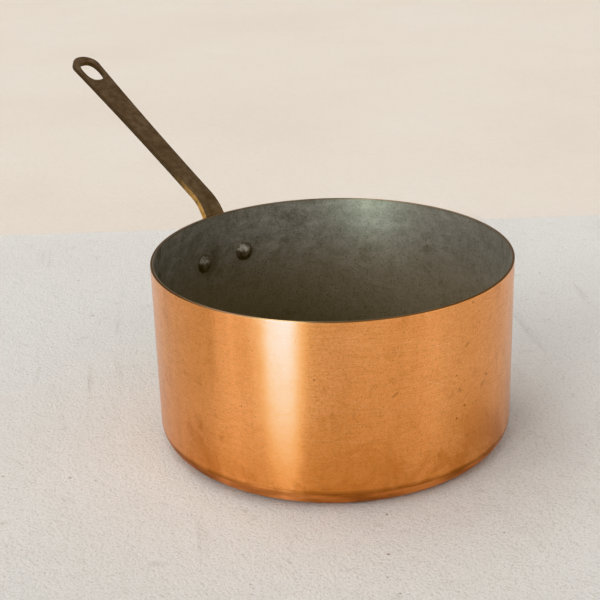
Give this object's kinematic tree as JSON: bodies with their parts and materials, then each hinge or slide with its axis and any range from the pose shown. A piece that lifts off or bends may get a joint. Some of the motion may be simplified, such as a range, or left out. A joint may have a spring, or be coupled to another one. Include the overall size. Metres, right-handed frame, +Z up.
{
  "type": "copper saucepan",
  "caption": "Straight-sided round copper saucepan with a tin-lined inside and a long riveted brass bar handle that rises to an oval hanging hole.",
  "frame": {"origin": "centre of the flat base, on the surface that the pan stands on", "axes": "+Z up along the pan's axis, -X towards the handle's tip, +Y to the left of a cook who holds the handle and faces +X"},
  "size_m": [0.343, 0.2, 0.1819],
  "materials": {
    "copper": "hand-polished copper with a fine circumferential grain, a duller lower corner and small dark spots",
    "tin": "hot-wiped tin, darkened and mottled with use, with fine level wipe lines",
    "aged_brass": "cast brass with a dark brown patina, rubbed golden along its edges near the bend",
    "rivet_metal": "tinned copper rivet, dull grey and worn"
  },
  "bodies": {
    "root": {"pan_body": "copper", "tin_lining": "tin", "handle": "aged_brass", "rivet_left": "rivet_metal", "rivet_right": "rivet_metal"}
  },
  "joints": []
}
